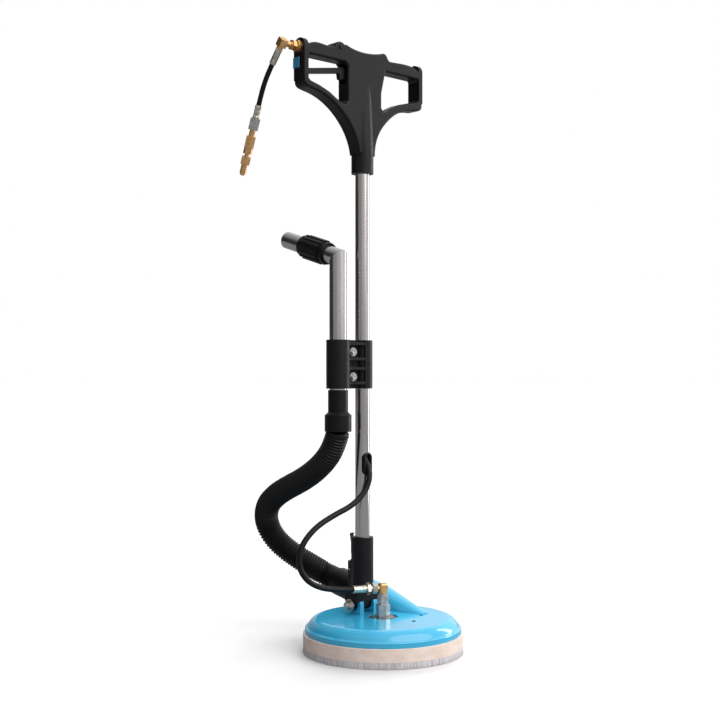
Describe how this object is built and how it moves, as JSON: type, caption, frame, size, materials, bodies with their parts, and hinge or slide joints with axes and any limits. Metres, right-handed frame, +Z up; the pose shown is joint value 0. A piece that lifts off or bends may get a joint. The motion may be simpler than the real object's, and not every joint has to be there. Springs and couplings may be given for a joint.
{
  "type": "carpet cleaner machine",
  "caption": "Upright hard-floor and tile cleaning machine: round spinning-jet hood on a brush ring, hinged pole with trigger handle, pressure hose and vacuum recovery hose.",
  "frame": {"origin": "centre of the round cleaning head, on the floor plane that the brush ring stands on", "axes": "+Z up along the upright pole, +X along the handle bar to the side away from the water inlet, -Y to the front of the hood, +Y to the operator and vacuum port"},
  "size_m": [0.4187, 0.5556, 1.33],
  "materials": {
    "blue_hood": "gloss",
    "cream_band": "satin",
    "bristle": "matte",
    "dark_rivet": "satin",
    "zinc_steel": "satin",
    "cast_alloy": "satin",
    "bearing_steel": "polished",
    "brass_fitting": "polished",
    "crimp_steel": "satin",
    "hose_rubber": "matte",
    "hose_plastic": "satin",
    "black_mould": "matte",
    "tube_steel": "polished",
    "lock_blue": "satin"
  },
  "bodies": {
    "head": {"head_shell": "blue_hood", "dome_rivets": "dark_rivet", "brush_band": "cream_band", "bristles": "bristle", "swivel_flange": "cast_alloy", "flange_screws": "zinc_steel", "bearing_housing": "cast_alloy", "shaft_bearings": "bearing_steel", "swivel_body": "zinc_steel", "swivel_elbow": "brass_fitting", "hose_nut": "brass_fitting", "hose_stem": "crimp_steel", "hose_ferrule": "crimp_steel", "pressure_hose": "hose_rubber", "port_cuff": "hose_plastic"},
    "rotor": {"swivel_shaft": "bearing_steel", "rotor_hub": "bearing_steel", "spray_arms": "bearing_steel", "spray_nozzles": "brass_fitting", "rotor_nut": "zinc_steel"},
    "pole": {"yoke_socket": "black_mould", "hinge_bolt": "zinc_steel", "hinge_washer": "zinc_steel", "hinge_nut": "zinc_steel", "latch_bracket": "zinc_steel", "latch_pin": "zinc_steel", "latch_spring": "zinc_steel", "pole": "tube_steel", "pole_grommet": "hose_rubber", "pole_water_hose": "hose_rubber", "upper_cuff": "hose_plastic", "vacuum_hose": "hose_plastic", "vacuum_tube": "tube_steel", "clamp_front": "black_mould", "clamp_rear": "black_mould", "clamp_screws": "zinc_steel", "clamp_washers": "zinc_steel", "clamp_nuts": "zinc_steel", "handle_front": "black_mould", "handle_rear": "black_mould", "handle_screws": "zinc_steel", "trigger_pin": "zinc_steel", "valve_body": "brass_fitting", "valve_spring": "zinc_steel", "handle_feed_tube": "brass_fitting", "inlet_adaptor": "brass_fitting", "inlet_nut": "brass_fitting", "inlet_elbow": "brass_fitting", "whip_ferrule_top": "crimp_steel", "whip_hose": "hose_rubber", "whip_ferrule_low": "crimp_steel", "whip_nut": "zinc_steel", "whip_adaptor": "brass_fitting", "coupler_ring": "brass_fitting", "coupler_plug": "brass_fitting"},
    "trigger": {"trigger": "black_mould"},
    "valve": {"valve_stem": "brass_fitting"},
    "lock_tab": {"safety_tab": "lock_blue"},
    "collar": {"relief_collar": "black_mould"},
    "latch": {"latch_lever": "zinc_steel"}
  },
  "joints": [
    {"name": "pole_tilt", "type": "hinge", "parent": "head", "child": "pole", "pos_m": [0, 0.066, 0.095], "axis": [-1, 0, 0], "range_deg": [0, 65], "deforming": ["vacuum_hose", "pressure_hose"]},
    {"name": "rotor_spin", "type": "hinge", "parent": "head", "child": "rotor", "pos_m": [0, 0, 0.05], "axis": [0, 0, 1], "continuous": true},
    {"name": "trigger_pull", "type": "hinge", "parent": "pole", "child": "trigger", "pos_m": [-0.042, 0.066, 1.272], "axis": [0, 1, 0], "range_deg": [0, 9], "stiffness_Nm_per_rad": 1.2, "springref_deg": -5.73},
    {"name": "valve_push", "type": "slide", "parent": "pole", "child": "valve", "axis": [0, 0, -1], "range_m": [0, 0.002], "stiffness_N_per_m": 200, "springref_m": -0.003, "deforming": ["valve_spring"]},
    {"name": "lock_slide", "type": "slide", "parent": "pole", "child": "lock_tab", "axis": [0, -1, 0], "range_m": [0, 0.008]},
    {"name": "collar_turn", "type": "hinge", "parent": "pole", "child": "collar", "pos_m": [-0.073, 0.066, 0.862], "axis": [0, 0.9588, 0.284], "range_deg": [0, 90]},
    {"name": "latch_press", "type": "hinge", "parent": "pole", "child": "latch", "pos_m": [0, 0.097, 0.168], "axis": [1, 0, 0], "range_deg": [0, 4], "stiffness_Nm_per_rad": 1, "springref_deg": -5.73, "deforming": ["latch_spring"]}
  ],
  "couplings": [
    {"joint": "valve_push", "follows": "trigger_pull", "m_per_rad": 0.01}
  ]
}
